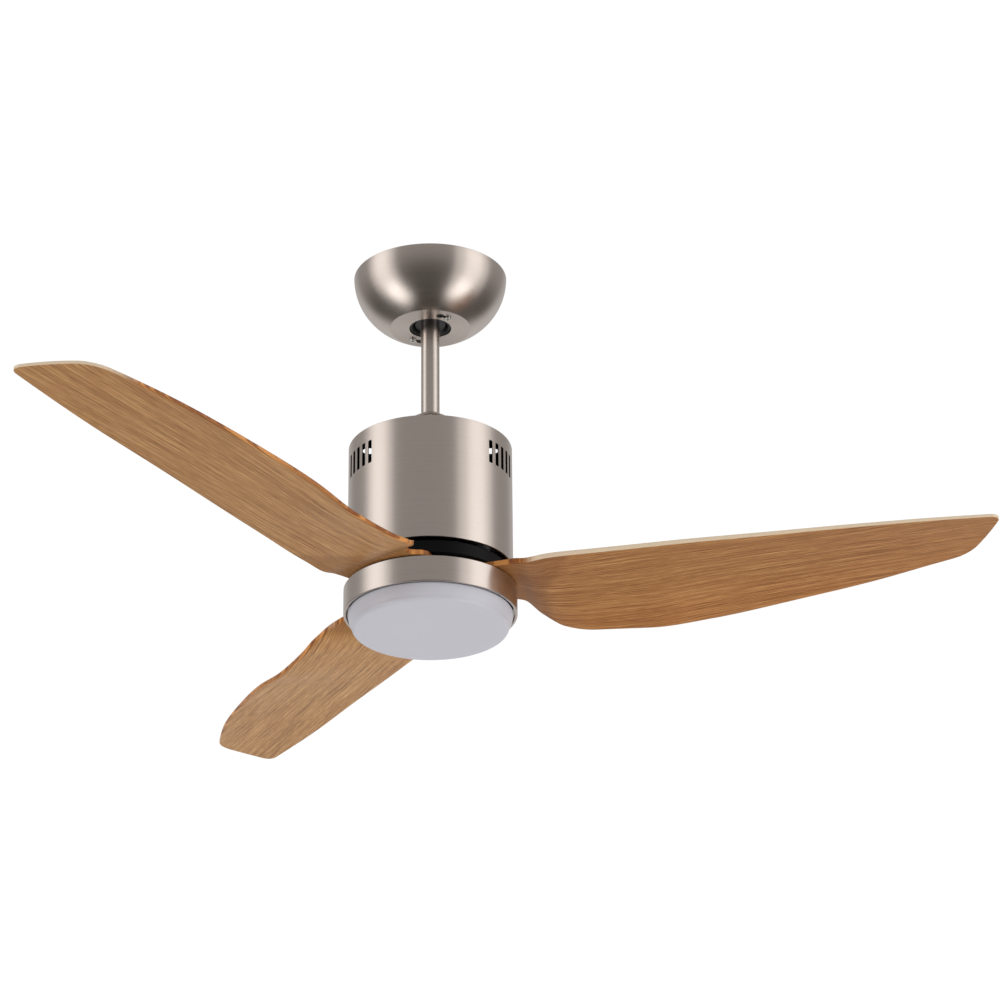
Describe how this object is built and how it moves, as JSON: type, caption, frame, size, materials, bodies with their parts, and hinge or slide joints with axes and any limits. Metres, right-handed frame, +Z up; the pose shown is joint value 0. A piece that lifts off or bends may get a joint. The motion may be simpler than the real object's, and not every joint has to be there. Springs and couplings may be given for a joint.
{
  "type": "ceiling fan with light",
  "caption": "Ceiling fan with a round light: downrod on a ball hanger, direct-drive motor in a cylindrical housing, twisted wood-look blades, opal diffuser.",
  "frame": {"origin": "centre of the hanger bracket's slot pattern, on the face that meets the ceiling", "axes": "+Z up out of the ceiling face, along the downrod; the fan hangs towards -Z; the bracket's two ceiling slots lie on X"},
  "size_m": [1.082, 1.1401, 0.4617],
  "materials": {
    "satin_nickel": "satin nickel, fine brushing round the axis",
    "zinc_steel": "zinc plated pressed steel",
    "black_steel": "black powder coat on pressed steel",
    "bright_screw": "bright plated screws",
    "earth_brass": "brass",
    "black_plastic": "black nylon",
    "terminal_plastic": "white moulded plastic",
    "black_hub": "black semi-gloss paint on a casting",
    "motor_aluminium": "cast aluminium",
    "bearing_steel": "ground steel",
    "electrical_steel": "stacked laminations",
    "copper_winding": "enamelled copper wire",
    "magnet_ferrite": "ferrite segments",
    "lead_sleeve": "sleeved leads",
    "circuit_board": "green solder mask",
    "capacitor_can": "sleeved cans",
    "led_board_white": "white solder mask on aluminium",
    "led_phosphor": "phosphor caps",
    "white_steel": "white powder coat",
    "blade_oak": "light oak decor, grain along the blade",
    "rubber_washer": "rubber",
    "opal_diffuser": "opal white, satin surface"
  },
  "bodies": {
    "bracket": {"hanger_bracket": "black_steel", "canopy_screws": "bright_screw", "terminal_block": "terminal_plastic", "terminal_screws": "zinc_steel", "remote_receiver": "black_plastic", "earth_screw": "earth_brass"},
    "canopy": {"canopy": "satin_nickel"},
    "seat_liner": {"seat_liner": "black_plastic"},
    "hanging_unit": {"ball_pin": "zinc_steel", "bearing_inner_races": "bearing_steel", "board_capacitors": "capacitor_can", "board_standoffs": "black_plastic", "controller_board": "circuit_board", "cotter_pin": "zinc_steel", "downrod": "satin_nickel", "hanger_ball": "black_plastic", "housing_screws": "bright_screw", "housing_shell": "satin_nickel", "housing_top_plate": "black_steel", "led_board": "led_board_white", "led_chips": "led_phosphor", "led_driver": "terminal_plastic", "led_screws": "bright_screw", "led_spacers": "black_plastic", "light_leads": "lead_sleeve", "light_nut": "zinc_steel", "light_plate": "white_steel", "light_ring": "satin_nickel", "motor_leads": "lead_sleeve", "motor_shaft": "bearing_steel", "motor_yoke": "black_steel", "ring_screws": "bright_screw", "rod_grommet": "black_plastic", "shaft_circlips": "zinc_steel", "shaft_shoulder_ring": "zinc_steel", "shaft_spacers": "zinc_steel", "stator_core": "electrical_steel", "stator_hub": "motor_aluminium", "stator_windings": "copper_winding", "yoke_pin": "zinc_steel", "yoke_screws": "bright_screw", "yoke_set_screws": "bright_screw"},
    "coupling_cover": {"coupling_cover": "satin_nickel"},
    "rotor": {"rotor_magnets": "magnet_ferrite", "rotor_back_iron": "electrical_steel", "rotor_top_cover": "motor_aluminium", "rotor_bottom_cover": "motor_aluminium", "rotor_screws": "bright_screw", "blade_hub": "black_hub", "hub_screws": "bright_screw", "blade_1": "blade_oak", "blade_2": "blade_oak", "blade_3": "blade_oak", "blade_screws": "bright_screw", "blade_washers": "rubber_washer", "bearing_outer_races": "bearing_steel", "bearing_balls": "bearing_steel"},
    "diffuser": {"diffuser": "opal_diffuser"}
  },
  "joints": [
    {"name": "ball_tilt_x", "type": "hinge", "parent": "bracket", "child": "seat_liner", "pos_m": [0, 0, -0.038], "axis": [1, 0, 0], "range_deg": [-12, 12]},
    {"name": "ball_tilt_y", "type": "hinge", "parent": "seat_liner", "child": "hanging_unit", "pos_m": [0, 0, -0.038], "axis": [0, 1, 0], "range_deg": [-12, 12]},
    {"name": "canopy_twist", "type": "hinge", "parent": "bracket", "child": "canopy", "pos_m": [0, 0, -0.0666], "axis": [0, 0, 1], "range_deg": [0, 17]},
    {"name": "rotor_spin", "type": "hinge", "parent": "hanging_unit", "child": "rotor", "pos_m": [0, 0, -0.335], "axis": [0, 0, 1], "continuous": true},
    {"name": "coupling_cover_lift", "type": "slide", "parent": "hanging_unit", "child": "coupling_cover", "axis": [0, 0, 1], "range_m": [0, 0.09]},
    {"name": "diffuser_twist", "type": "hinge", "parent": "hanging_unit", "child": "diffuser", "pos_m": [0, 0, -0.4388], "axis": [0, 0, 1], "range_deg": [0, 20]}
  ]
}
